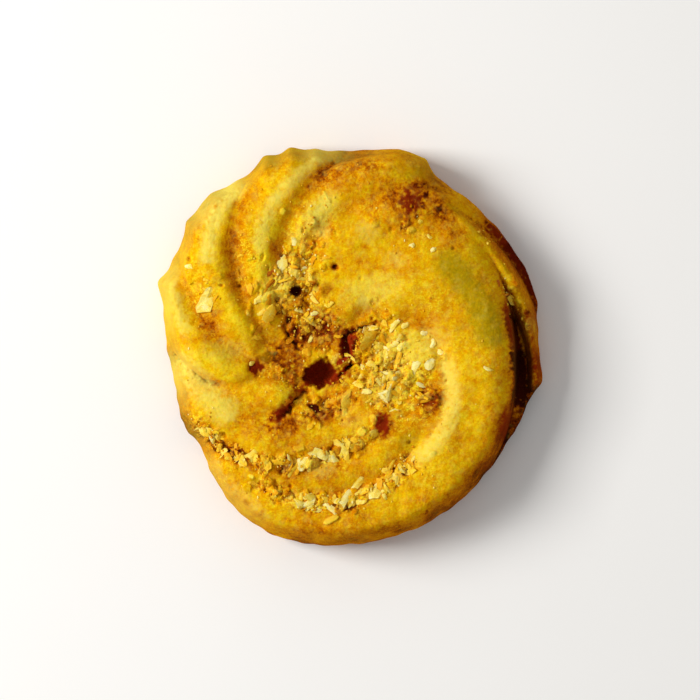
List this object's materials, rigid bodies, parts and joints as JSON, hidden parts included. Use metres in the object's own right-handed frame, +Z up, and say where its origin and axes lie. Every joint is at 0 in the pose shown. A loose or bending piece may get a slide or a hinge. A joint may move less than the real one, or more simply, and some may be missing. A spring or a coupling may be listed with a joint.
{
  "type": "coconut ring biscuit",
  "caption": "Round golden biscuit of dough ropes laid in a swirl about a small pit, with baked coconut flakes in its grooves.",
  "frame": {"origin": "centre of the biscuit's plan extents, on the baked base", "axes": "+Z up out of the swirled top; +Y towards the fan of short ridges, +X towards the low rim rope"},
  "size_m": [0.0581, 0.0601, 0.0135],
  "materials": {
    "baked_dough": "matt baked crust, golden yellow on the ridges and brown in the grooves"
  },
  "bodies": {
    "root": {"biscuit": "baked_dough"}
  },
  "joints": []
}
